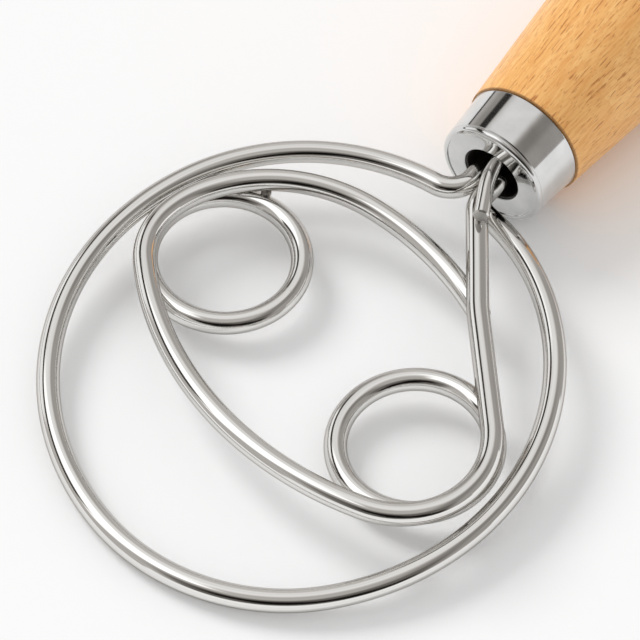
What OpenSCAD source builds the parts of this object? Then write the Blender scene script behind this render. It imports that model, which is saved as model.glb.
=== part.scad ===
// Dough whisk: a head of bent and welded wire in a metal collar on a turned wooden handle.
// The pieces are drawn in the tool's own frame: the origin is the middle of the collar's mouth,
// +Y runs back along the handle and +Z is the side that faces up when the whisk lies on a table.
// The last step lays the tool on the ring's tip and the handle's belly, in the middle of its footprint.

/* [Wire] */
// Diameter of the wire of the head
wire_d = 4; // [3:0.1:4]
// Diameter of the thin anchor hook's wire
hook_d = 3; // [2:0.1:3.2]
// Length of each wire inside the handle
tail_len = 18; // [12:1:24]

/* [Head] */
// Width of the outer ring between its wire's centre lines
ring_w = 86.6; // [86.6:0.2:96]
// Radius of the far eye to the wire's centre line
left_eye_r = 13.8; // [10:0.1:13.8]
// Radius of the near eye to the wire's centre line
right_eye_r = 13.5; // [10:0.1:13.5]
// Radius of each weld bead
bead_r = 1; // [0.8:0.1:1.6]

/* [Collar] */
// Length of the collar
collar_len = 10.4; // [8:0.1:16]
// Radius of the collar at its front
collar_front_r = 10.7; // [9.5:0.1:11.5]
// Radius of the collar at the wood
collar_back_r = 11.5; // [10:0.1:11.9]
// Thickness of the collar's sheet
collar_wall = 0.8; // [0.6:0.1:1.2]
// Radius of the round front edge
collar_rim_r = 0.9; // [0.6:0.1:1.2]
// Radius of the mouth that the wires go into
mouth_r = 5.8; // [5.8:0.1:7]

/* [Handle] */
// Length of the wood that shows behind the collar
handle_len = 229; // [180:1:260]
// Radius of the wood at the collar
handle_front_r = 11.9; // [11.5:0.1:13]
// Slope of the front cone in degrees
front_slope = 5.6; // [5.6:0.1:6.4]
// Distance from the mouth to the thickest place
belly_y = 66; // [62:1:80]
// Bend radius of the swelling along the handle
belly_bow = 150; // [120:10:200]
// Slope of the long taper behind the belly, in degrees
tail_slope = 2; // [1:0.1:2.4]
// Radius of the rounding at the handle's end
end_round = 8; // [4:0.5:9]
// Diameter of the hanging hole
hang_d = 7; // [4:0.5:9]
// Distance from the hanging hole to the handle's end
hang_back = 16; // [12:1:30]
// Radius of the bore that takes the wires
bore_r = 5.6; // [5.6:0.1:6.4]

/* [Hidden] */
$fn = 64;

// The head keeps its proportions: every length of its routes is multiplied by this.
head_k = ring_w / 86.6;
// Where the wires pass the mouth, as [x, z]
ring_left_at = [-2.1, 0] * head_k;
ring_right_at = [0.1, -3.5] * head_k;
leg_at = [1.95, 0.75] * head_k;
hook_at = [0.4, 3.9];

// A route is what a wire bender would follow. Each row is [feed, roll, radius, angle]: push the wire
// straight, turn the bending plane about the wire, then bend to a radius by an angle in degrees.
// The first and last feeds of a route include the tail inside the handle.

// Neck, five arcs of the loop and the second neck, which comes back one wire lower
ring_route = [
    [tail_len / head_k + 2.5, 0, 5, 86],
    [0, 0, 41.5, -66.5],
    [0, 0, 48, -95],
    [0, 0, 38.5, -63],
    [0, 0, 48.5, -80.5],
    [0, -16.5, 50, -36.9],
    [0, 10.7, 5, 75],
    [tail_len / head_k + 1, 0, 0, 0]
];
// Leg, near turn, long strand, far turn and the return strand, whose end passes under the leg
inner_route = [
    [tail_len / head_k + 2.8, 0, 8, 7.9],
    [0.5, -96.2, 8, 36],
    [19.5, 8.4, 40, 5.3],
    [22.4, 0, 19, -16],
    [0, 0, 16, -100],
    [0, 0, 61, -61],
    [0, 0, 15, -46.5],
    [0, 4.4, 21, -22.5],
    [0, 0, 30, -62],
    [0, 0, 54, -30.5]
];
// The hook leaves the bore on a slant and lies on top of the leg
hook_route = [
    [tail_len - 5.5, 0, 8, 4.5],
    [0, -90, 25, 27],
    [5.5, 0, 0, 0]
];

// Eyes as [centre, tilt]
left_eye_at = [[-27.3, -42.5, -2.2], [-1.5, 0.5, 0]];
right_eye_at = [[22.3, -53.1, -1.3], [0.3, -4.2, 0]];
// Beads where the eyes, the ring and the return strand touch the strands above them
bead_places = [
    [-29.7, -27.4, -0.6],
    [-33.8, -30.1, -0.4],
    [-38.4, -50.4, 0.6],
    [-42.4, -38.8, -1.1],
    [25.2, -38.7, 1.1],
    [35.9, -52.8, 1.9],
    [34.9, -59.9, 2],
    [13.2, -23.1, 0.2]
];

// Each stretch of a wire starts this far inside the one before it, and a bend is thinner than a
// straight by this much or twice it, as bent wire is, so that no two walls of one wire coincide.
lap = 0.2;
bend_thin = 0.08;
// Gap between the collar's mouth and the resin's face
resin_back = 5;
// The bore goes a little further than the wires
bore_len = tail_len + 2;

// The belly's arc starts where it meets the front cone and ends where the tail taper starts.
belly_start_y = belly_y - belly_bow * sin(front_slope);
belly_start_r = handle_front_r + (belly_start_y - collar_len) * tan(front_slope);
belly_r = belly_start_r + belly_bow * (1 - cos(front_slope));
belly_end_y = belly_y + belly_bow * sin(tail_slope);
belly_end_r = belly_r - belly_bow * (1 - cos(tail_slope));
end_y = collar_len + handle_len;
// Middle of the end's rounding, which is tangent to the tail taper and to the flat end
round_y = end_y - end_round;
round_r = belly_end_r - (round_y - belly_end_y) * tan(tail_slope) - end_round / cos(tail_slope);
hang_y = end_y - hang_back;
hang_wall_r = round_r + end_round / cos(tail_slope) + (round_y - hang_y) * tan(tail_slope);

// Middle and far point of the outer ring's centre line, for the footprint
ring_mid_x = -2.4 * head_k;
ring_tip_y = -98.75 * head_k;
// At rest one straight line, the table, runs under the wire at the ring's tip and under the belly's
// arc. The middle of that arc is belly_rise above the handle's axis.
belly_rise = belly_bow - belly_r;
tip_to_belly = [belly_y - ring_tip_y, belly_rise];
rest_tilt = asin((belly_bow - wire_d / 2) / norm(tip_to_belly)) - atan2(tip_to_belly[1], tip_to_belly[0]);
rest_lift = wire_d / 2 - ring_tip_y * sin(rest_tilt);
foot_front_y = ring_tip_y * cos(rest_tilt) - wire_d / 2;
foot_back_y = end_y * cos(rest_tilt) + round_r * sin(rest_tilt);
foot_mid_y = (foot_front_y + foot_back_y) / 2;

// Points of an arc about c in n equal steps
function arc_points(c, r, from, to, n) =
    [for (i = [0:n]) let (a = from + (to - from) * i / n) c + r * [cos(a), sin(a)]];

// A bend from the origin, headed +Z, towards +X where the angle is positive and towards -X where not
module bend(r, a, d) {
    side = sign(a);
    back = lap / r * 180 / PI;
    translate([side * r, 0, 0])
        rotate([90, 0, side > 0 ? 180 : 0])
            rotate([0, 0, -back])
                rotate_extrude(angle = abs(a) + back)
                    translate([r, 0])
                        circle(d = d);
}

// One row of a route, then the rest of the route from where that row ends
module wire_run(route, d, k = 1, i = 0) {
    if (i < len(route)) {
        feed = route[i][0] * k;
        roll = route[i][1];
        r = route[i][2] * k;
        a = route[i][3];
        start = i == 0 ? 0 : lap;
        if (feed > 0)
            translate([0, 0, -start])
                cylinder(h = feed + start, d = d);
        translate([0, 0, feed])
            rotate([0, 0, roll]) {
                if (a != 0)
                    bend(r, a, d - bend_thin * (1 + i % 2));
                translate([sign(a) * r * (1 - cos(a)), 0, r * sin(abs(a))])
                    rotate([0, a, 0])
                        wire_run(route, d, k, i + 1);
            }
    }
}

// Start of a wire inside the handle, headed out of the mouth. turn sets the first bending plane.
module from_handle(at, turn) {
    translate([at[0], tail_len, at[1]])
        rotate([90, 0, 0])
            rotate([0, 0, turn])
                children();
}

module outer_ring() {
    color("silver")
        from_handle(ring_left_at, 180)
            wire_run(ring_route, wire_d, head_k);
}

module inner_wire() {
    color("lightsteelblue")
        from_handle(leg_at, 90)
            wire_run(inner_route, wire_d, head_k);
}

module anchor_hook() {
    color("gray")
        from_handle(hook_at, 90)
            wire_run(hook_route, hook_d);
}

module eye(at, r) {
    translate(at[0] * head_k)
        rotate(at[1])
            rotate_extrude()
                translate([r * head_k, 0])
                    circle(d = wire_d);
}

module left_eye() {
    color("gainsboro")
        eye(left_eye_at, left_eye_r);
}

module right_eye() {
    color("gainsboro")
        eye(right_eye_at, right_eye_r);
}

module tack_welds() {
    color("dimgray")
        for (p = bead_places)
            translate(p * head_k)
                sphere(r = bead_r);
}

// Turns a profile of [radius, distance back from the mouth] about the handle's axis.
module turned() {
    rotate([-90, 0, 0])
        rotate_extrude()
            children();
}

module collar() {
    color("lightgray")
        turned()
            polygon(concat(
                [[mouth_r, collar_wall], [mouth_r + 0.2, 0.2], [mouth_r + 0.5, 0]],
                arc_points([collar_front_r - collar_rim_r, collar_rim_r], collar_rim_r, -90, 0, 6),
                [[collar_back_r - 0.2, collar_len - 0.3], [collar_back_r - 0.3, collar_len]],
                [[collar_back_r - collar_wall, collar_len]],
                [[collar_front_r - collar_wall, collar_wall]]
            ));
}

module handle() {
    color("burlywood")
        difference() {
            turned()
                polygon(concat(
                    [[0, collar_wall], [collar_front_r - collar_wall, collar_wall]],
                    [[collar_back_r - collar_wall, collar_len], [handle_front_r - 0.3, collar_len]],
                    [[handle_front_r, collar_len + 0.3]],
                    arc_points([belly_r - belly_bow, belly_y], belly_bow, -front_slope, tail_slope, 16),
                    arc_points([round_r, round_y], end_round, tail_slope, 90, 12),
                    [[0, end_y]]
                ));
            translate([0, bore_len, 0])
                rotate([90, 0, 0])
                    cylinder(h = bore_len + 1, r = bore_r);
            translate([0, hang_y, -hang_wall_r - 1])
                cylinder(h = 2 * hang_wall_r + 2, d = hang_d);
        }
}

module bore_resin() {
    color("dimgray")
        difference() {
            translate([0, tail_len + 1, 0])
                rotate([90, 0, 0])
                    cylinder(h = tail_len + 1 - resin_back, r = bore_r);
            for (at = [ring_left_at, ring_right_at, leg_at])
                translate([at[0], tail_len, at[1]])
                    rotate([90, 0, 0])
                        cylinder(h = tail_len, d = wire_d);
            translate([hook_at[0], tail_len, hook_at[1]])
                rotate([90, 0, 0])
                    cylinder(h = tail_len, d = hook_d);
        }
}

// From the tool's frame to the resting whisk
module at_rest() {
    translate([-ring_mid_x, -foot_mid_y, rest_lift])
        rotate([rest_tilt, 0, 0])
            children();
}

at_rest() outer_ring();
at_rest() inner_wire();
at_rest() left_eye();
at_rest() right_eye();
at_rest() anchor_hook();
at_rest() tack_welds();
at_rest() collar();
at_rest() handle();
at_rest() bore_resin();
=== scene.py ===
"""Dough whisk: a head of bent and welded wire in a metal collar on a turned beech handle.

The sizes and the bending cards are in the tool's own frame, as a maker would hold it: the origin is the
middle of the collar's mouth, +Y runs back along the handle and +Z is the side that faces up. A wire is
bent where it lies on the table, and a turned piece is laid down there when it is finished.
"""

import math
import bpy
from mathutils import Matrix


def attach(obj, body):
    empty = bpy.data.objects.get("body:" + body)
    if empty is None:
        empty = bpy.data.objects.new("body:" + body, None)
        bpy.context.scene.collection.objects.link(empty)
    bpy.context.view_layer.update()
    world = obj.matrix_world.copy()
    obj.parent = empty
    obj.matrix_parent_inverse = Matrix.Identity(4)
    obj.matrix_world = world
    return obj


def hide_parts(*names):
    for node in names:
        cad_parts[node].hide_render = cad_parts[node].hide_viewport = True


bl_info = {
    "name": "Dough whisk",
    "version": (1, 0, 0),
    "blender": (4, 5, 0),
    "location": "View3D > Sidebar > Whisk",
    "description": "Models a dough whisk of bent wire with a collar and a turned handle",
    "category": "Add Mesh",
}

import bmesh
import bpy
from bpy.props import FloatProperty, FloatVectorProperty, PointerProperty
from mathutils import Matrix, Vector

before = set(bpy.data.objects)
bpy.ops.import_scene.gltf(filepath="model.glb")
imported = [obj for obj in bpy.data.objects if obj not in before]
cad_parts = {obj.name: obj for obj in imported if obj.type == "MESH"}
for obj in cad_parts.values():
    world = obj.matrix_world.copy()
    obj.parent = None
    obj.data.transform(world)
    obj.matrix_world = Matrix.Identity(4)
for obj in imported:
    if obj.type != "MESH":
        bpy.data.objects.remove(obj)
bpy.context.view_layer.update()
BODY = "root"
MM = 0.001

# Where the wires pass the mouth, as x and z in millimetres
RING_AT = (-2.1, 0.0)
LEG_AT = (1.95, 0.75)
HOOK_AT = (0.4, 3.9)
# First bending planes of the wires, in degrees about the wire
RING_TURN = 180
LEG_TURN = 90

# The bending card of each wire. Each row is feed, roll, radius and angle, in millimetres and degrees:
# push the wire straight, turn the bending plane about the wire, then bend. The first feed starts at
# the mouth, and the tail inside the handle comes before it.
RING_CARD = (
    (2.5, 0, 5, 86),
    (0, 0, 41.5, -66.5),
    (0, 0, 48, -95),
    (0, 0, 38.5, -63),
    (0, 0, 48.5, -80.5),
    (0, -16.5, 50, -36.9),
    (0, 10.7, 5, 75),
)
RING_LAST_FEED = 1
INNER_CARD = (
    (2.8, 0, 8, 7.9),
    (0.5, -96.2, 8, 36),
    (19.5, 8.4, 40, 5.3),
    (22.4, 0, 19, -16),
    (0, 0, 16, -100),
    (0, 0, 61, -61),
    (0, 0, 15, -46.5),
    (0, 4.4, 21, -22.5),
    (0, 0, 30, -62),
    (0, 0, 54, -30.5),
)
# The hook bends before it leaves the mouth, so its first feed is shorter than the tail
HOOK_CARD = (
    (-5.5, 0, 8, 4.5),
    (0, -90, 25, 27),
    (5.5, 0, 0, 0),
)

# Eyes as centre in millimetres and tilt in degrees
LEFT_EYE = ((-27.3, -42.5, -2.2), (-1.5, 0.5))
RIGHT_EYE = ((22.3, -53.1, -1.3), (0.3, -4.2))
# Weld beads in millimetres
BEAD_PLACES = (
    (-29.7, -27.4, -0.6),
    (-33.8, -30.1, -0.4),
    (-38.4, -50.4, 0.6),
    (-42.4, -38.8, -1.1),
    (25.2, -38.7, 1.1),
    (35.9, -52.8, 1.9),
    (34.9, -59.9, 2.0),
    (13.2, -23.1, 0.2),
)

# What the metal sees round the table. Each card is bearing, height, width, tallness and soft edge in
# degrees, and its level. Later cards lie over earlier ones.
ROOM_CARDS = (
    # Bright wall and ceiling at the back left, with a dark doorway
    (-150, 34, 40, 50, 14, 0.62),
    (-138, 66, 54, 44, 16, 0.86),
    (-117, 22, 30, 18, 12, 0.34),
    # Grey room at the back right
    (130, 40, 104, 52, 20, 0.37),
    (125, 57, 44, 20, 14, 0.26),
    # Dim room at the front right, and its darkest parts
    (40, 35, 84, 44, 14, 0.15),
    (24, 37, 34, 18, 12, 0.006),
    (46, 29, 40, 18, 12, 0.006),
    (68, 21, 24, 14, 10, 0.01),
    # Large soft box on the left, its dark lower edge and the bright wall under it
    (-62, 12, 60, 26, 12, 0.5),
    (-90, 11, 36, 30, 6, 1.0),
    (-66, 53, 42, 48, 7, 1.4),
    (-84, 36, 60, 13, 4, 0.03),
    # White paper that curves up at the right of the table
    (56, -4, 142, 26, 3, 1.0),
    (128, 4, 40, 26, 2, 1.0),
    # Dark line where the table ends at the back left
    (-115, 1.5, 90, 4, 1.5, 0.03),
)
# Level of the room where no card is, and the tint of its dim places
ROOM_LEVEL = 0.5
DIM_TINT = (1, 0.92, 0.84, 1)
WHITE = (1, 1, 1, 1)

# The key light's heading on the table, and how many degrees of the sky it fills
KEY_HEADING = (1.275, -0.112, -1)
KEY_SPREAD = 26
# The camera's place in metres and its turns in degrees, in the tool's own frame
CAMERA_PLACE = (0.15229, -0.26281, 0.40967)
CAMERA_TURNS = (("Z", 37.3758), ("Y", -1.1033), ("X", 33.3703))
SENSOR_WIDTH = 36
NEAREST, FARTHEST = 0.01, 50
TABLE_SIDE = 6

# Where the whisk rests: the middle of the ring's wire at its tip, and the middle of the ring's width
RING_TIP_Y = -98.75 * MM
RING_MID_X = -2.4 * MM

# How finely round shapes are made
WIRE_SIDES = 40
WIRE_STEP = 1.1 * MM
WIRE_TURN = math.radians(5)
TURNED_STEPS = 144
# Faces that meet at less than this angle are shaded as one round surface
ROUND_ANGLE = math.radians(32)
WOOD_ROUND_ANGLE = math.radians(28)
BEAD_ROUND_ANGLE = math.radians(80)
# Vertices nearer than this are merged
MERGE_GAP = 0.002 * MM
# How far off the rim and off the flat of a wire's start a vertex may be to belong to it
RIM_SLACK, FLAT_SLACK = 0.05 * MM, 0.01 * MM
# How far a cut end draws in over its chamfer, as a share of the chamfer's length
CUT_DRAW = 0.8
# Only the flat face of a cut end has places nearer than this to the wire's centre
SAWN_R = 1.25 * MM
# Small roundings of the collar's and the handle's edges
EDGE_ROUND = 0.3 * MM
# How much deeper the bore is than the wire tails
BORE_ROOM = 2 * MM
# How far round the bore and how far past the tails the painted shade on the bore's wall reaches
BORE_SHADE_ROUND, BORE_SHADE_PAST = 0.4 * MM, 5 * MM
# The drill of the hanging hole: its sides, the depth at each edge where it starts to flare, and the
# flare as steps of rise and reach, in millimetres
DRILL_SIDES = 72
FLARE_DEPTH = 0.9 * MM
FLARE_STEPS = ((0.5, 0.12), (0.5, 0.38), (1.5, 1.6))


def length(name, text, metres):
    return FloatProperty(name=name, description=text, default=metres, unit="LENGTH")


def slope(name, text, degrees):
    return FloatProperty(name=name, description=text, default=math.radians(degrees), unit="ROTATION")


def plain(name, text, value):
    return FloatProperty(name=name, description=text, default=value)


def colour(name, text, rgb):
    return FloatVectorProperty(name=name, description=text, default=rgb, subtype="COLOR")


class WhiskSizes(bpy.types.PropertyGroup):
    """Sizes of the whisk, the same as in its construction."""

    wire_d: length("Wire", "Diameter of the head's wire", 4 * MM)
    hook_d: length("Hook wire", "Diameter of the thin hook", 3 * MM)
    tail_len: length("Tail", "Length of wire in the handle", 18 * MM)
    far_eye_r: length("Far eye", "To the wire's centre", 13.8 * MM)
    near_eye_r: length("Near eye", "To the wire's centre", 13.5 * MM)
    bead_r: length("Weld bead", "Radius of a weld bead", 1 * MM)
    cut_edge: length("Cut edge", "Chamfer of a cut end", 0.3 * MM)
    collar_len: length("Collar", "Length of the collar", 10.4 * MM)
    collar_front_r: length("Collar front", "Radius at the mouth", 10.7 * MM)
    collar_back_r: length("Collar back", "Radius at the wood", 11.5 * MM)
    collar_wall: length("Collar sheet", "Thickness of the sheet", 0.8 * MM)
    collar_rim_r: length("Collar rim", "Radius of the round front edge", 0.9 * MM)
    mouth_r: length("Mouth", "Radius of the mouth", 5.8 * MM)
    handle_len: length("Handle", "Length of the wood", 229 * MM)
    handle_front_r: length("Handle front", "Radius of the wood at the collar", 11.9 * MM)
    front_slope: slope("Front slope", "Slope of the front cone", 5.6)
    belly_y: length("Belly", "Mouth to thickest place", 66 * MM)
    belly_bow: length("Belly bow", "Bend radius of the belly", 150 * MM)
    tail_slope: slope("Tail slope", "Slope of the long taper", 2)
    end_round: length("End round", "Rounding of the end", 8 * MM)
    hang_d: length("Hanging hole", "Diameter of the hole", 7 * MM)
    hang_back: length("Hole to end", "From hole to end", 16 * MM)
    bore_r: length("Bore", "Radius of the wire bore", 5.6 * MM)


class WhiskFinish(bpy.types.PropertyGroup):
    """Colours and light."""

    steel: colour("Steel", "Colour of the wire", (0.80, 0.79, 0.77))
    collar: colour("Collar", "Colour of the collar", (0.71, 0.71, 0.705))
    wood_pale: colour("Pale wood", "Early wood of the beech", (0.97, 0.56, 0.20))
    wood_deep: colour("Deep wood", "Late wood of the beech", (0.88, 0.45, 0.135))
    wood_line: colour("Fibres", "Fine lines along the grain", (0.80, 0.35, 0.085))
    wood_fleck: colour("Flecks", "Short dark rays in the beech", (0.43, 0.13, 0.02))
    floor: colour("Table", "Colour of the table", (0.985, 0.985, 0.985))
    key: plain("Key light", "Strength of the sun lamp", 1.32)
    fill: plain("Fill light", "Strength of the world on matt surfaces", 0.722)
    lens: plain("Lens", "Focal length of the camera, in mm", 158.9)


def mouth_to_table(sizes):
    """The move from the tool's frame to the table: it lies on its ring's tip and its handle's belly."""
    marks, wire_r = handle_marks(sizes), sizes.wire_d / 2
    reach = Vector((sizes.belly_y - RING_TIP_Y, sizes.belly_bow - marks["belly_r"]))
    tilt = math.asin((sizes.belly_bow - wire_r) / reach.length) - math.atan2(reach.y, reach.x)
    lift = wire_r - RING_TIP_Y * math.sin(tilt)
    front_y = RING_TIP_Y * math.cos(tilt) - wire_r
    back_y = marks["end_y"] * math.cos(tilt) + marks["round_r"] * math.sin(tilt)
    shift = Matrix.Translation((-RING_MID_X, -(front_y + back_y) / 2, lift))
    return shift @ Matrix.Rotation(tilt, 4, "X")


def handle_marks(sizes):
    """Places along the handle where its outline changes."""
    cone_y = sizes.belly_y - sizes.belly_bow * math.sin(sizes.front_slope)
    cone_r = sizes.handle_front_r + (cone_y - sizes.collar_len) * math.tan(sizes.front_slope)
    belly_r = cone_r + sizes.belly_bow * (1 - math.cos(sizes.front_slope))
    taper_y = sizes.belly_y + sizes.belly_bow * math.sin(sizes.tail_slope)
    taper_r = belly_r - sizes.belly_bow * (1 - math.cos(sizes.tail_slope))
    end_y = sizes.collar_len + sizes.handle_len
    round_y = end_y - sizes.end_round
    fall = math.tan(sizes.tail_slope)
    round_r = taper_r - (round_y - taper_y) * fall - sizes.end_round / math.cos(sizes.tail_slope)
    hang_y = end_y - sizes.hang_back
    hang_wall_r = taper_r - (hang_y - taper_y) * fall
    return {
        "belly_r": belly_r,
        "end_y": end_y,
        "round_y": round_y,
        "round_r": round_r,
        "hang_y": hang_y,
        "hang_wall_r": hang_wall_r,
    }


def deselect():
    """Leave edit mode and let go of everything."""
    if bpy.context.mode != "OBJECT":
        bpy.ops.object.mode_set(mode="OBJECT")
    bpy.ops.object.select_all(action="DESELECT")


def select_only(piece):
    deselect()
    bpy.context.view_layer.objects.active = piece
    piece.select_set(True)


def apply_place(piece):
    """Put a piece's place, turn and size into its mesh."""
    select_only(piece)
    bpy.ops.object.transform_apply(location=True, rotation=True, scale=True)


def apply_modifiers(piece):
    select_only(piece)
    for modifier in list(piece.modifiers):
        bpy.ops.object.modifier_apply(modifier=modifier.name)


def select_points(piece, wanted):
    """In edit mode, select the vertices whose place passes the test, and nothing else."""
    bpy.ops.mesh.select_mode(type="VERT")
    bpy.ops.mesh.select_all(action="DESELECT")
    mesh = bmesh.from_edit_mesh(piece.data)
    for vertex in mesh.verts:
        vertex.select = wanted(vertex.co)
    mesh.select_flush(True)
    bmesh.update_edit_mesh(piece.data)


def close_up(piece):
    """Merge what meets and point every face outwards."""
    select_only(piece)
    bpy.ops.object.mode_set(mode="EDIT")
    bpy.ops.mesh.select_all(action="SELECT")
    bpy.ops.mesh.remove_doubles(threshold=MERGE_GAP)
    bpy.ops.mesh.normals_make_consistent(inside=False)
    bpy.ops.object.mode_set(mode="OBJECT")


def smooth(piece, angle=ROUND_ANGLE):
    select_only(piece)
    bpy.ops.object.shade_smooth_by_angle(angle=angle)


def hand_over(piece, node, material):
    """Give a finished piece its material and its place in the frame."""
    piece.data.materials.clear()
    piece.data.materials.append(material)
    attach(piece, BODY)
    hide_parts(node)
    deselect()


class WireBender:
    """Feeds and bends one wire, as a bending machine does, and remembers where each ring of it was
    before it was bent, so that a finish can follow the wire."""

    def __init__(self, name, place, diameter):
        deselect()
        self.place = place.copy()
        self.diameter = diameter
        self.travelled = 0.0
        self.rings = [(self.place.copy(), 0.0)]
        bpy.ops.mesh.primitive_circle_add(
            vertices=WIRE_SIDES,
            radius=diameter / 2,
            fill_type="NOTHING",
            location=place.to_translation(),
            rotation=place.to_euler(),
        )
        self.piece = bpy.context.object
        self.piece.name = self.piece.data.name = name
        apply_place(self.piece)
        bpy.ops.object.mode_set(mode="EDIT")
        bpy.ops.mesh.select_all(action="SELECT")

    def feed(self, length):
        move = self.place.to_3x3() @ Vector((0, 0, length))
        bpy.ops.mesh.extrude_region_move(TRANSFORM_OT_translate={"value": move})
        self.place = self.place @ Matrix.Translation((0, 0, length))
        self.travelled += length
        self.rings.append((self.place.copy(), self.travelled))

    def bend(self, radius, angle):
        """Towards the bender's +X where the angle is positive, and towards -X where it isn't."""
        side = math.copysign(1, angle)
        arc = radius * abs(angle)
        steps = max(2, round(arc / WIRE_STEP), round(abs(angle) / WIRE_TURN))
        pivot = Matrix.Translation((side * radius, 0, 0))
        # The spin operator turns the other way from a rotation matrix
        bpy.ops.mesh.spin(
            steps=steps,
            angle=-angle,
            center=self.place @ pivot.to_translation(),
            axis=self.place.to_3x3() @ Vector((0, 1, 0)),
        )
        start = self.place.copy()
        for step in range(1, steps + 1):
            turned = pivot @ Matrix.Rotation(angle * step / steps, 4, "Y") @ pivot.inverted()
            self.rings.append((start @ turned, self.travelled + arc * step / steps))
        self.travelled += arc
        self.place = self.rings[-1][0].copy()

    def roll(self, angle):
        self.place = self.place @ Matrix.Rotation(angle, 4, "Z")

    def run(self, card):
        for feed, roll, radius, angle in card:
            if feed:
                self.feed(feed * MM)
            self.roll(math.radians(roll))
            if angle:
                self.bend(radius * MM, math.radians(angle))

    def narrow(self, share):
        """Draw the last ring in about the wire's centre."""
        centre = self.place.to_translation()
        bpy.ops.transform.resize(value=(share, share, share), center_override=centre)

    def cut(self, edge):
        """End the wire in a flat face with a small chamfer."""
        radius = self.diameter / 2
        self.feed(edge)
        self.narrow((radius - edge * CUT_DRAW) / radius)
        bpy.ops.mesh.edge_face_add()

    def close_tail(self):
        """Fill the end where the wire started."""
        tail = self.rings[0][0]
        centre, back, radius = tail.to_translation(), tail.inverted(), self.diameter / 2

        def on_tail(place):
            on_rim = abs((place - centre).length - radius) < RIM_SLACK
            return on_rim and abs((back @ place).z) < FLAT_SLACK

        select_points(self.piece, on_tail)
        bpy.ops.mesh.edge_face_add()

    def finish(self):
        """Face outwards, and write where each vertex was on the straight wire."""
        bpy.ops.mesh.select_all(action="SELECT")
        bpy.ops.mesh.normals_make_consistent(inside=False)
        bpy.ops.object.mode_set(mode="OBJECT")
        mesh = self.piece.data
        straight = mesh.attributes.new("straight", "FLOAT_VECTOR", "POINT")
        backwards = [(place.inverted(), along) for place, along in self.rings]
        for index, vertex in enumerate(mesh.vertices):
            back, along = backwards[min(index // WIRE_SIDES, len(backwards) - 1)]
            spot = back @ vertex.co
            straight.data[index].vector = (spot.x, spot.y, along + spot.z)
        smooth(self.piece)
        return self.piece


def wire_start(sizes, at, turn):
    """The bender's place at a wire's tail inside the handle, headed out of the mouth."""
    tail = Matrix.Translation((at[0] * MM, sizes.tail_len, at[1] * MM))
    heading = Matrix.Rotation(math.radians(90), 4, "X") @ Matrix.Rotation(math.radians(turn), 4, "Z")
    return mouth_to_table(sizes) @ tail @ heading


def bend_wire(name, sizes, diameter, at, turn, card):
    """Feed a wire from its tail inside the handle and bend it by its card, up to its other end."""
    first = card[0]
    bender = WireBender(name, wire_start(sizes, at, turn), diameter)
    bender.run(((first[0] + sizes.tail_len / MM, *first[1:]), *card[1:]))
    return bender


def turn_profile(name, points):
    """Draw a profile of radius and distance from the mouth, then turn it about the handle's axis."""
    deselect()
    first = points[0]
    bpy.ops.mesh.primitive_plane_add(size=MM, location=(first[0], first[1], 0))
    piece = bpy.context.object
    piece.name = piece.data.name = name
    apply_place(piece)
    bpy.ops.object.mode_set(mode="EDIT")
    bpy.ops.mesh.select_all(action="SELECT")
    bpy.ops.mesh.merge(type="CENTER")
    for before, after in zip(points, points[1:]):
        step = (after[0] - before[0], after[1] - before[1], 0)
        bpy.ops.mesh.extrude_vertices_move(TRANSFORM_OT_translate={"value": step})
    bpy.ops.mesh.select_all(action="SELECT")
    bpy.ops.mesh.spin(steps=TURNED_STEPS, angle=2 * math.pi, center=(0, 0, 0), axis=(0, 1, 0))
    close_up(piece)
    return piece


def arc_points(centre, radius, start, end, count):
    """Points of an arc as radius from the axis and distance from the mouth, angles in degrees."""
    points = []
    for step in range(count + 1):
        angle = math.radians(start + (end - start) * step / count)
        points.append((centre[0] + radius * math.cos(angle), centre[1] + radius * math.sin(angle)))
    return points


def line_points(start, end, count):
    """Points from start to end in equal steps, without the start."""
    return [
        tuple(a + (b - a) * step / count for a, b in zip(start, end))
        for step in range(1, count + 1)
    ]


# Materials


class NodeBench:
    """A tree of shader nodes that is built up node by node."""

    def __init__(self, tree):
        self.nodes, self.links = tree.nodes, tree.links

    def add(self, kind, **values):
        """A node, with its properties and its input sockets set by name."""
        node = self.nodes.new(kind)
        for key, value in values.items():
            if hasattr(node, key):
                setattr(node, key, value)
            else:
                node.inputs[key.replace("_", " ").title()].default_value = value
        return node

    def link(self, source, target):
        self.links.new(source, target)

    def supply(self, socket, value):
        """Link a socket to another one, or set its number, vector or colour."""
        if isinstance(value, bpy.types.NodeSocket):
            self.link(value, socket)
        else:
            socket.default_value = value

    def math(self, operation, *values):
        """A number worked out from numbers and sockets."""
        node = self.add("ShaderNodeMath", operation=operation)
        for socket, value in zip(node.inputs, values):
            self.supply(socket, value)
        return node.outputs[0]

    def coordinate(self, source, letter):
        """The x, y or z of a vector."""
        node = self.add("ShaderNodeSeparateXYZ")
        self.link(source, node.inputs["Vector"])
        return node.outputs[letter]

    def distance(self, source, share):
        """Length of a vector whose x, y and z are first multiplied by their shares."""
        kept = self.add("ShaderNodeVectorMath", operation="MULTIPLY")
        self.link(source, kept.inputs[0])
        kept.inputs[1].default_value = share
        node = self.add("ShaderNodeVectorMath", operation="LENGTH")
        self.link(kept.outputs["Vector"], node.inputs[0])
        return node.outputs["Value"]

    def fall(self, value, start, end, top=1):
        """The top level up to the start, falling softly to 0 at the end."""
        node = self.add("ShaderNodeMapRange", interpolation_type="SMOOTHSTEP")
        self.link(value, node.inputs["Value"])
        for socket, level in (("From Min", start), ("From Max", end), ("To Min", top), ("To Max", 0)):
            node.inputs[socket].default_value = level
        return node.outputs["Result"]


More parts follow.
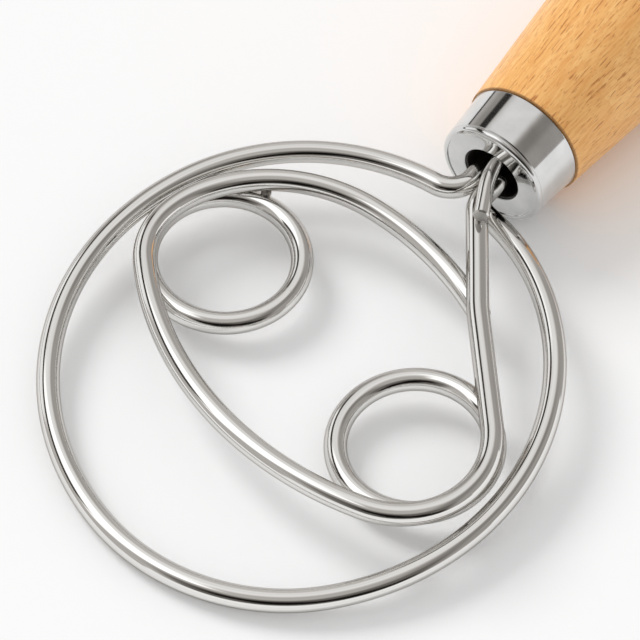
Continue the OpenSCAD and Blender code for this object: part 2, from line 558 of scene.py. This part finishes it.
class Recipe(NodeBench):
    """A material and its shader."""

    def __init__(self, name):
        self.material = bpy.data.materials.new(name)
        self.material.use_nodes = True
        super().__init__(self.material.node_tree)
        self.shader = self.nodes["Principled BSDF"]

    def tool_space(self, sizes):
        """Object coordinates turned back to the tool's own frame, with y along the handle."""
        place = mouth_to_table(sizes)
        coordinates = self.add("ShaderNodeTexCoord")
        back = self.add("ShaderNodeMapping", vector_type="TEXTURE")
        back.inputs["Location"].default_value = place.to_translation()
        back.inputs["Rotation"].default_value = place.to_euler()
        self.link(coordinates.outputs["Object"], back.inputs["Vector"])
        return back.outputs["Vector"]

    def stretched(self, source, scale):
        node = self.add("ShaderNodeMapping")
        node.inputs["Scale"].default_value = scale
        self.link(source, node.inputs["Vector"])
        return node.outputs["Vector"]

    def noise(self, source, scale, detail=2.0, roughness=0.5):
        node = self.add("ShaderNodeTexNoise", Scale=scale, Detail=detail, Roughness=roughness)
        self.link(source, node.inputs["Vector"])
        return node.outputs["Fac"]

    def ramp(self, source, stops):
        """Colours or grey levels by position. A stop is a position and a grey level or a colour."""
        node = self.add("ShaderNodeValToRGB")
        elements = node.color_ramp.elements
        while len(elements) < len(stops):
            elements.new(0.5)
        for element, (position, level) in zip(elements, stops):
            element.position = position
            rgb = (level, level, level) if isinstance(level, (int, float)) else tuple(level)
            element.color = (*rgb, 1)
        self.link(source, node.inputs["Fac"])
        return node.outputs["Color"]

    def mix(self, share, first, second):
        """Mix two colours, each a colour value or a socket."""
        node = self.add("ShaderNodeMix", data_type="RGBA")
        self.link(share, node.inputs[0])
        for socket, value in ((node.inputs[6], first), (node.inputs[7], second)):
            self.supply(socket, value if isinstance(value, bpy.types.NodeSocket) else (*value, 1))
        return node.outputs[2]

    def bump(self, height, strength, distance, below=None):
        node = self.add("ShaderNodeBump", Strength=strength, Distance=distance)
        self.link(height, node.inputs["Height"])
        if below is not None:
            self.link(below, node.inputs["Normal"])
        return node.outputs["Normal"]


def shade_of(colour, factor):
    return tuple(min(1.0, channel * factor) for channel in colour)


def uneven(metal):
    """The two ends of a ramp between a slightly darker and a slightly lighter metal."""
    return (0.3, shade_of(metal, 0.93)), (0.7, shade_of(metal, 1.06))


def drawn_wire_material(finish):
    """Polished steel wire: fine lines from the drawing die run along it, and it isn't quite even."""
    recipe = Recipe("drawn_wire")
    wire = recipe.add("ShaderNodeAttribute", attribute_name="straight").outputs["Vector"]
    lines = recipe.noise(recipe.stretched(wire, (1, 1, 0.012)), 2600, detail=4)
    waves = recipe.noise(recipe.stretched(wire, (1, 1, 0.3)), 330, detail=1)
    tone = recipe.ramp(lines, uneven(finish.steel))
    # The saw left the cut end dull
    sawn = recipe.math("LESS_THAN", recipe.distance(wire, (1, 1, 0)), SAWN_R)
    recipe.link(recipe.mix(sawn, tone, shade_of(finish.steel, 1.1)), recipe.shader.inputs["Base Color"])
    polish = recipe.ramp(lines, ((0.3, 0.10), (0.7, 0.05)))
    recipe.link(recipe.math("MULTIPLY_ADD", sawn, 0.4, polish), recipe.shader.inputs["Roughness"])
    soft = recipe.bump(waves, 0.25, 0.1 * MM)
    recipe.link(recipe.bump(lines, 0.2, 0.01 * MM, soft), recipe.shader.inputs["Normal"])
    recipe.shader.inputs["Metallic"].default_value = 1
    # Steel turns darker just inside its outline
    recipe.shader.inputs["Specular Tint"].default_value = (0.42, 0.39, 0.36, 1)
    return recipe.material


def weld_material(finish):
    """Small dull beads, dark and straw from the heat."""
    recipe = Recipe("weld_bead")
    coordinates = recipe.add("ShaderNodeTexCoord").outputs["Object"]
    spots = recipe.noise(coordinates, 900, detail=3)
    grit = recipe.noise(coordinates, 4200, detail=2)
    burnt, straw, bare = (0.16, 0.15, 0.15), (0.40, 0.37, 0.33), shade_of(finish.steel, 0.8)
    tone = recipe.ramp(spots, ((0.35, burnt), (0.5, straw), (0.68, bare)))
    recipe.link(tone, recipe.shader.inputs["Base Color"])
    recipe.link(recipe.ramp(grit, ((0.3, 0.5), (0.7, 0.28))), recipe.shader.inputs["Roughness"])
    recipe.link(recipe.bump(grit, 0.5, 0.05 * MM), recipe.shader.inputs["Normal"])
    recipe.shader.inputs["Metallic"].default_value = 1
    return recipe.material


def collar_material(finish, sizes):
    """Turned and polished steel: very fine lines run round it."""
    recipe = Recipe("turned_steel")
    place = recipe.tool_space(sizes)
    # Distance from the axis and along it are the same all round, so the lines run round the collar
    around = recipe.add("ShaderNodeCombineXYZ")
    recipe.link(recipe.distance(place, (1, 0, 1)), around.inputs["X"])
    recipe.link(recipe.coordinate(place, "Y"), around.inputs["Y"])
    lines = recipe.noise(around.outputs["Vector"], 5200, detail=4, roughness=0.6)
    clouds = recipe.noise(place, 260, detail=3)
    tone = recipe.ramp(clouds, uneven(finish.collar))
    recipe.link(tone, recipe.shader.inputs["Base Color"])
    recipe.link(recipe.ramp(lines, ((0.3, 0.11), (0.7, 0.06))), recipe.shader.inputs["Roughness"])
    recipe.link(recipe.bump(lines, 0.05, 0.01 * MM), recipe.shader.inputs["Normal"])
    recipe.shader.inputs["Metallic"].default_value = 1
    return recipe.material


def painted_bore_shade(recipe, place, sizes):
    """1 on the wall of the bore, which is painted near-black as shade inside the mouth, and 0 on the
    rest of the wood.
    """
    inside = recipe.math("LESS_THAN", recipe.distance(place, (1, 0, 1)), sizes.mouth_r + BORE_SHADE_ROUND)
    front = recipe.math("LESS_THAN", recipe.coordinate(place, "Y"), sizes.tail_len + BORE_SHADE_PAST)
    return recipe.math("MULTIPLY", inside, front)


def beech_material(finish, sizes):
    """Oiled beech: pale, with soft growth rings and many short dark flecks along the grain."""
    recipe = Recipe("oiled_beech")
    place = recipe.tool_space(sizes)
    pith = recipe.add("ShaderNodeMapping")
    pith.inputs["Location"].default_value = (31 * MM, 0, 22 * MM)
    pith.inputs["Scale"].default_value = (1, 0.12, 1)
    recipe.link(place, pith.inputs["Vector"])
    rings = recipe.add(
        "ShaderNodeTexWave",
        wave_type="RINGS",
        rings_direction="Y",
        wave_profile="SAW",
        Scale=105,
        Distortion=2.2,
        Detail=3,
        Detail_Scale=1.4,
    )
    recipe.link(pith.outputs["Vector"], rings.inputs["Vector"])
    blush = recipe.noise(recipe.stretched(place, (1, 0.1, 1)), 70, detail=3)
    fibre = recipe.noise(recipe.stretched(place, (1, 0.03, 1)), 2300, detail=4, roughness=0.6)
    dashes = recipe.noise(recipe.stretched(place, (1, 0.05, 1)), 2500, detail=2.5)
    small = recipe.noise(recipe.stretched(place, (1, 0.13, 1)), 4600, detail=1)
    late = recipe.ramp(rings.outputs["Fac"], ((0.1, 0.0), (0.8, 0.55), (1.0, 0.75)))
    wood = recipe.mix(late, finish.wood_pale, finish.wood_deep)
    wood = recipe.mix(recipe.ramp(blush, ((0.35, 0.0), (0.7, 0.45))), wood, finish.wood_deep)
    wood = recipe.mix(recipe.ramp(fibre, ((0.42, 0.0), (0.63, 0.75))), wood, finish.wood_line)
    marks = recipe.ramp(dashes, ((0.60, 0.0), (0.68, 0.72)))
    wood = recipe.mix(marks, wood, finish.wood_fleck)
    specks = recipe.ramp(small, ((0.62, 0.0), (0.74, 0.5)))
    wood = recipe.mix(specks, wood, finish.wood_fleck)
    # Painted shade: a dark band on the wood where it meets the collar, standing in for shadow in the
    # joint
    joint = sizes.collar_len
    joint_shade = recipe.fall(recipe.coordinate(place, "Y"), joint + 0.05 * MM, joint + 0.4 * MM, 0.6)
    wood = recipe.mix(joint_shade, wood, shade_of(finish.wood_fleck, 0.25))
    # Painted shade: the bore's wall inside the mouth is painted near-black
    wood = recipe.mix(painted_bore_shade(recipe, place, sizes), wood, (0.02, 0.015, 0.012))
    recipe.link(wood, recipe.shader.inputs["Base Color"])
    recipe.link(recipe.ramp(fibre, ((0.3, 0.36), (0.7, 0.5))), recipe.shader.inputs["Roughness"])
    pores = recipe.bump(marks, -0.35, 0.05 * MM)
    recipe.link(recipe.bump(fibre, 0.12, 0.04 * MM, pores), recipe.shader.inputs["Normal"])
    recipe.shader.inputs["Coat Weight"].default_value = 0.15
    recipe.shader.inputs["Coat Roughness"].default_value = 0.3
    return recipe.material


def resin_material():
    """The dark filling round the wire tails, uneven where it set."""
    recipe = Recipe("set_resin")
    coordinates = recipe.add("ShaderNodeTexCoord").outputs["Object"]
    lumps = recipe.noise(coordinates, 500, detail=4)
    tone = recipe.ramp(lumps, ((0.3, (0.012, 0.011, 0.010)), (0.7, (0.05, 0.045, 0.04))))
    recipe.link(tone, recipe.shader.inputs["Base Color"])
    recipe.link(recipe.ramp(lumps, ((0.3, 0.5), (0.7, 0.3))), recipe.shader.inputs["Roughness"])
    recipe.link(recipe.bump(lumps, 0.6, 0.3 * MM), recipe.shader.inputs["Normal"])
    return recipe.material


def wire_finish(finish):
    """The finish that all wires share, made once."""
    return bpy.data.materials.get("drawn_wire") or drawn_wire_material(finish)


# Pieces


class WHISK_OT_outer_ring(bpy.types.Operator):
    """Bend the outer ring, from one tail in the handle round to the other"""

    bl_idname = "whisk.outer_ring"
    bl_label = "Outer ring"

    def execute(self, context):
        sizes, finish = context.scene.whisk_sizes, context.scene.whisk_finish
        bender = bend_wire("ring_wire", sizes, sizes.wire_d, RING_AT, RING_TURN, RING_CARD)
        bender.feed(RING_LAST_FEED * MM + sizes.tail_len)
        bpy.ops.mesh.edge_face_add()
        bender.close_tail()
        hand_over(bender.finish(), "outer_ring", wire_finish(finish))
        return {"FINISHED"}


class WHISK_OT_inner_wire(bpy.types.Operator):
    """Bend the leg and the oval, whose cut end lies under the leg"""

    bl_idname = "whisk.inner_wire"
    bl_label = "Inner wire"

    def execute(self, context):
        sizes, finish = context.scene.whisk_sizes, context.scene.whisk_finish
        bender = bend_wire("loop_wire", sizes, sizes.wire_d, LEG_AT, LEG_TURN, INNER_CARD)
        bender.cut(sizes.cut_edge)
        bender.close_tail()
        hand_over(bender.finish(), "inner_wire", wire_finish(finish))
        return {"FINISHED"}


class WHISK_OT_anchor_hook(bpy.types.Operator):
    """Bend the thin hook that lies over the leg, with its cut end showing"""

    bl_idname = "whisk.anchor_hook"
    bl_label = "Anchor hook"

    def execute(self, context):
        sizes, finish = context.scene.whisk_sizes, context.scene.whisk_finish
        bender = bend_wire("hook_wire", sizes, sizes.hook_d, HOOK_AT, LEG_TURN, HOOK_CARD)
        bender.cut(sizes.cut_edge)
        bender.close_tail()
        hand_over(bender.finish(), "anchor_hook", wire_finish(finish))
        return {"FINISHED"}


class WHISK_OT_eyes(bpy.types.Operator):
    """Bend the two closed eyes, whose ends are welded and ground"""

    bl_idname = "whisk.eyes"
    bl_label = "Eyes"

    def execute(self, context):
        sizes, finish = context.scene.whisk_sizes, context.scene.whisk_finish
        for name, node, radius, (centre, tilt) in (
            ("far_eye_wire", "left_eye", sizes.far_eye_r, LEFT_EYE),
            ("near_eye_wire", "right_eye", sizes.near_eye_r, RIGHT_EYE),
        ):
            middle = Matrix.Translation(Vector(centre) * MM)
            over, aside = (math.radians(angle) for angle in tilt)
            turn = Matrix.Rotation(aside, 4, "Y") @ Matrix.Rotation(over, 4, "X")
            side = Matrix.Translation((radius, 0, 0)) @ Matrix.Rotation(math.radians(90), 4, "X")
            bender = WireBender(name, mouth_to_table(sizes) @ middle @ turn @ side, sizes.wire_d)
            bender.bend(radius, math.radians(-360))
            piece = bender.finish()
            close_up(piece)
            smooth(piece)
            hand_over(piece, node, wire_finish(finish))
        return {"FINISHED"}


class WHISK_OT_weld_beads(bpy.types.Operator):
    """Set the small weld beads where the wires touch"""

    bl_idname = "whisk.weld_beads"
    bl_label = "Weld beads"

    def execute(self, context):
        sizes, finish = context.scene.whisk_sizes, context.scene.whisk_finish
        lying = mouth_to_table(sizes)
        beads = []
        for number, place in enumerate(BEAD_PLACES):
            deselect()
            bpy.ops.mesh.primitive_uv_sphere_add(
                segments=28, ring_count=16, radius=sizes.bead_r, location=lying @ (Vector(place) * MM)
            )
            bead = bpy.context.object
            apply_place(bead)
            bpy.ops.object.mode_set(mode="EDIT")
            bpy.ops.mesh.select_all(action="SELECT")
            bpy.ops.transform.vertex_random(offset=0.08 * MM, normal=0.8, seed=number + 1)
            bpy.ops.mesh.vertices_smooth(factor=0.5, repeat=2)
            bpy.ops.object.mode_set(mode="OBJECT")
            beads.append(bead)
        deselect()
        for bead in beads:
            bead.select_set(True)
        bpy.context.view_layer.objects.active = beads[0]
        bpy.ops.object.join()
        piece = bpy.context.object
        piece.name = piece.data.name = "weld_beads"
        smooth(piece, BEAD_ROUND_ANGLE)
        hand_over(piece, "tack_welds", weld_material(finish))
        return {"FINISHED"}


class WHISK_OT_collar(bpy.types.Operator):
    """Turn the collar with its round front edge and its mouth"""

    bl_idname = "whisk.collar"
    bl_label = "Collar"

    def execute(self, context):
        sizes, finish = context.scene.whisk_sizes, context.scene.whisk_finish
        wall, rim, lip = sizes.collar_wall, sizes.collar_rim_r, EDGE_ROUND
        back_y, back_r = sizes.collar_len, sizes.collar_back_r
        front = sizes.collar_front_r
        groove, back = 0.14 * MM, 0.22 * MM
        points = [(sizes.mouth_r, wall)]
        points += arc_points((sizes.mouth_r + lip, back + lip), lip, 180, 270, 6)
        points += [(front - rim - groove, back)]
        points += arc_points((front - rim, rim), rim, -105, 18, 18)
        points += [(front - groove * 0.6, rim + groove * 2.4)]
        points += [(front + groove * 0.4, rim + groove * 3.6)]
        points += line_points(points[-1], (back_r - 0.05 * MM, back_y - lip), 6)
        points += arc_points((back_r - lip, back_y - lip), lip, 10, 90, 5)
        points += [(back_r - wall, back_y), (front - wall, wall), points[0]]
        piece = turn_profile("turned_collar", points)
        piece.matrix_world = mouth_to_table(sizes)
        apply_place(piece)
        smooth(piece)
        hand_over(piece, "collar", collar_material(finish, sizes))
        return {"FINISHED"}


class WHISK_OT_handle(bpy.types.Operator):
    """Turn the handle, bore it for the wires and drill its hanging hole"""

    bl_idname = "whisk.handle"
    bl_label = "Handle"

    def execute(self, context):
        sizes, finish = context.scene.whisk_sizes, context.scene.whisk_finish
        piece = self.turn(sizes)
        self.drill(piece, sizes)
        piece.matrix_world = mouth_to_table(sizes)
        apply_place(piece)
        smooth(piece, WOOD_ROUND_ANGLE)
        hand_over(piece, "handle", beech_material(finish, sizes))
        return {"FINISHED"}

    @staticmethod
    def turn(sizes):
        """The wood's outline, from the bottom of the bore round to the far end."""
        marks = handle_marks(sizes)
        wall, edge = sizes.collar_wall, EDGE_ROUND
        bore_end = sizes.tail_len + BORE_ROOM
        cone, fall = math.degrees(sizes.front_slope), math.degrees(sizes.tail_slope)
        bow = sizes.belly_bow
        belly = arc_points((marks["belly_r"] - bow, sizes.belly_y), bow, -cone, fall, 12)

        def on_taper(beyond_hole):
            """The taper's point at a distance beyond the hanging hole."""
            radius = marks["hang_wall_r"] - beyond_hole * math.tan(sizes.tail_slope)
            return radius, marks["hang_y"] + beyond_hole

        points = [(0, bore_end), (sizes.bore_r, bore_end), (sizes.bore_r, wall)]
        points += [(sizes.collar_front_r - wall, wall), (sizes.collar_back_r - wall, sizes.collar_len)]
        points += [(sizes.handle_front_r - edge, sizes.collar_len)]
        rounded = (sizes.handle_front_r - edge, sizes.collar_len + edge)
        points += arc_points(rounded, edge, -80, -cone, 4)
        points += line_points(points[-1], belly[0], 10) + belly[1:]
        points += line_points(points[-1], on_taper(-sizes.hang_d), 30)
        points += line_points(points[-1], on_taper(sizes.hang_d), 16)
        points += arc_points((marks["round_r"], marks["round_y"]), sizes.end_round, fall, 90, 16)
        points += [(0, marks["end_y"])]
        return turn_profile("turned_handle", points)

    @staticmethod
    def drill(piece, sizes):
        """Cut the hanging hole with a drill that eases its two edges."""
        marks = handle_marks(sizes)
        hole_r, reach = sizes.hang_d / 2, marks["hang_wall_r"] - FLARE_DEPTH
        centre = (0, marks["hang_y"], 0)
        deselect()
        bpy.ops.mesh.primitive_cylinder_add(
            vertices=DRILL_SIDES, radius=hole_r, depth=2 * reach, location=centre
        )
        drill = bpy.context.object
        apply_place(drill)
        for end in (-1, 1):
            bpy.ops.object.mode_set(mode="EDIT")
            select_points(drill, lambda place, end=end: place.z * end > 0)
            for rise, flare in FLARE_STEPS:
                move = (0, 0, end * rise * MM)
                bpy.ops.mesh.extrude_region_move(TRANSFORM_OT_translate={"value": move})
                share = (hole_r + flare * MM) / hole_r
                bpy.ops.transform.resize(value=(share, share, 1), center_override=centre)
            bpy.ops.object.mode_set(mode="OBJECT")
        deselect()
        cut = piece.modifiers.new("hanging hole", "BOOLEAN")
        cut.operation, cut.solver, cut.object = "DIFFERENCE", "EXACT", drill
        apply_modifiers(piece)
        bpy.data.objects.remove(drill)


class WHISK_OT_resin(bpy.types.Operator):
    """Give the filling round the wire tails its dark, uneven finish"""

    bl_idname = "whisk.resin"
    bl_label = "Bore resin"

    def execute(self, context):
        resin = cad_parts["bore_resin"]
        resin.data.materials.clear()
        resin.data.materials.append(resin_material())
        return {"FINISHED"}


# Stage


class Studio(NodeBench):
    """The world as the metal sees it: a few large cards round the table, each by its direction."""

    def __init__(self, world):
        world.use_nodes = True
        super().__init__(world.node_tree)
        self.nodes.clear()
        self.direction = self.add("ShaderNodeTexCoord").outputs["Generated"]

    def towards(self, axis):
        """How far the direction points along an axis."""
        node = self.add("ShaderNodeVectorMath", operation="DOT_PRODUCT")
        self.link(self.direction, node.inputs[0])
        node.inputs[1].default_value = axis
        return node.outputs["Value"]

    def card(self, below, bearing, height, width, tall, soft, level):
        """Lay a card over the levels below it. Its bearing, from -Y towards +X, its height above the
        table, its sizes and its soft edge are angles in degrees."""
        bearing, height = math.radians(bearing), math.radians(height)
        flat = math.cos(height)
        ahead = Vector((math.sin(bearing) * flat, -math.cos(bearing) * flat, math.sin(height)))
        across = Vector((math.cos(bearing), math.sin(bearing), 0))
        sideways = self.math("ARCTAN2", self.towards(across), self.towards(ahead))
        upwards = self.math("ARCSINE", self.towards(across.cross(ahead)))
        edges = []
        for angle, size in ((sideways, width), (upwards, tall)):
            inner, outer = math.radians(size - soft) / 2, math.radians(size + soft) / 2
            edges.append(self.fall(self.math("ABSOLUTE", angle), inner, outer))
        mask = self.math("MULTIPLY", *edges)
        shift = self.math("MULTIPLY", mask, self.math("SUBTRACT", level, below))
        return self.math("ADD", below, shift)

    def background(self, level):
        """Light of a level. The dim places of the room are a little warmer than its white ones."""
        node = self.add("ShaderNodeBackground", Color=WHITE)
        self.supply(node.inputs["Strength"], level)
        if isinstance(level, bpy.types.NodeSocket):
            tint = self.add("ShaderNodeMix", data_type="RGBA")
            for socket, value in ((0, level), (6, DIM_TINT), (7, WHITE)):
                self.supply(tint.inputs[socket], value)
            self.link(tint.outputs[2], node.inputs["Color"])
        return node.outputs["Background"]

    def choose(self, share, first, second):
        """The first light where the share is 0 and the second where it is 1."""
        node = self.add("ShaderNodeMixShader")
        for socket, value in zip(node.inputs, (share, first, second)):
            self.link(value, socket)
        return node.outputs[0]


class WHISK_OT_stage(bpy.types.Operator):
    """Set the white table, the soft light and the camera"""

    bl_idname = "whisk.stage"
    bl_label = "Stage"

    def execute(self, context):
        sizes, finish = context.scene.whisk_sizes, context.scene.whisk_finish
        context.scene.view_settings.view_transform = "Standard"
        self.table(finish)
        self.light(context.scene, finish)
        self.camera(context.scene, sizes, finish)
        return {"FINISHED"}

    @staticmethod
    def table(finish):
        deselect()
        bpy.ops.mesh.primitive_plane_add(size=TABLE_SIDE)
        table = bpy.context.object
        table.name = table.data.name = "table"
        recipe = Recipe("table_white")
        recipe.shader.inputs["Base Color"].default_value = (*finish.floor, 1)
        recipe.shader.inputs["Roughness"].default_value = 1
        recipe.shader.inputs["Specular IOR Level"].default_value = 0
        table.data.materials.append(recipe.material)

    @staticmethod
    def light(scene, finish):
        # The key comes from the left, less than half way up, and is wide, so that shadows are soft
        sun = bpy.data.lights.new("key", "SUN")
        sun.energy, sun.angle = finish.key, math.radians(KEY_SPREAD)
        key = bpy.data.objects.new("key", sun)
        key.rotation_euler = Vector(KEY_HEADING).to_track_quat("-Z", "Y").to_euler()
        key.visible_glossy = False
        scene.collection.objects.link(key)

        world = bpy.data.worlds.new("studio")
        world.cycles.sampling_method = "NONE"
        scene.world = world
        studio = Studio(world)
        level = ROOM_LEVEL
        for card in ROOM_CARDS:
            level = studio.card(level, *card)
        # Matt surfaces take an even light, metal shows the room, and the camera sees white
        ways = studio.add("ShaderNodeLightPath")
        glossy, through = ways.outputs["Is Glossy Ray"], ways.outputs["Is Transmission Ray"]
        seen = studio.math("MAXIMUM", glossy, through)
        light = studio.choose(seen, studio.background(finish.fill), studio.background(level))
        light = studio.choose(ways.outputs["Is Camera Ray"], light, studio.background(1.0))
        output = studio.add("ShaderNodeOutputWorld")
        studio.link(light, output.inputs["Surface"])

    @staticmethod
    def camera(scene, sizes, finish):
        """The camera stands still in the tool's own frame, where the photograph was matched."""
        place = Matrix.Translation(CAMERA_PLACE)
        for axis, angle in CAMERA_TURNS:
            place = place @ Matrix.Rotation(math.radians(angle), 4, axis)
        data = bpy.data.cameras.new("camera")
        data.lens, data.sensor_width = finish.lens, SENSOR_WIDTH
        data.clip_start, data.clip_end = NEAREST, FARTHEST
        camera = bpy.data.objects.new("camera", data)
        camera.matrix_world = mouth_to_table(sizes) @ place
        scene.collection.objects.link(camera)
        scene.camera = camera


class VIEW3D_PT_whisk(bpy.types.Panel):
    """Buttons for the pieces of the whisk"""

    bl_label = "Dough whisk"
    bl_idname = "VIEW3D_PT_whisk"
    bl_space_type = "VIEW_3D"
    bl_region_type = "UI"
    bl_category = "Whisk"

    def draw(self, context):
        column = self.layout.column(align=True)
        for step in STEPS:
            column.operator(step.bl_idname, text=step.bl_label)
        for group in (context.scene.whisk_sizes, context.scene.whisk_finish):
            box = self.layout.box().column(align=True)
            for name in group.__annotations__:
                box.prop(group, name)


STEPS = (
    WHISK_OT_stage,
    WHISK_OT_outer_ring,
    WHISK_OT_inner_wire,
    WHISK_OT_eyes,
    WHISK_OT_anchor_hook,
    WHISK_OT_weld_beads,
    WHISK_OT_collar,
    WHISK_OT_handle,
    WHISK_OT_resin,
)
CLASSES = (WhiskSizes, WhiskFinish, *STEPS, VIEW3D_PT_whisk)


def register():
    for made in CLASSES:
        bpy.utils.register_class(made)
    bpy.types.Scene.whisk_sizes = PointerProperty(type=WhiskSizes)
    bpy.types.Scene.whisk_finish = PointerProperty(type=WhiskFinish)


def unregister():
    del bpy.types.Scene.whisk_finish
    del bpy.types.Scene.whisk_sizes
    for made in reversed(CLASSES):
        bpy.utils.unregister_class(made)


def main():
    register()
    bpy.ops.whisk.stage()
    bpy.ops.whisk.outer_ring()
    bpy.ops.whisk.inner_wire()
    bpy.ops.whisk.eyes()
    bpy.ops.whisk.anchor_hook()
    bpy.ops.whisk.weld_beads()
    bpy.ops.whisk.collar()
    bpy.ops.whisk.handle()
    bpy.ops.whisk.resin()


if __name__ == "__main__":
    main()
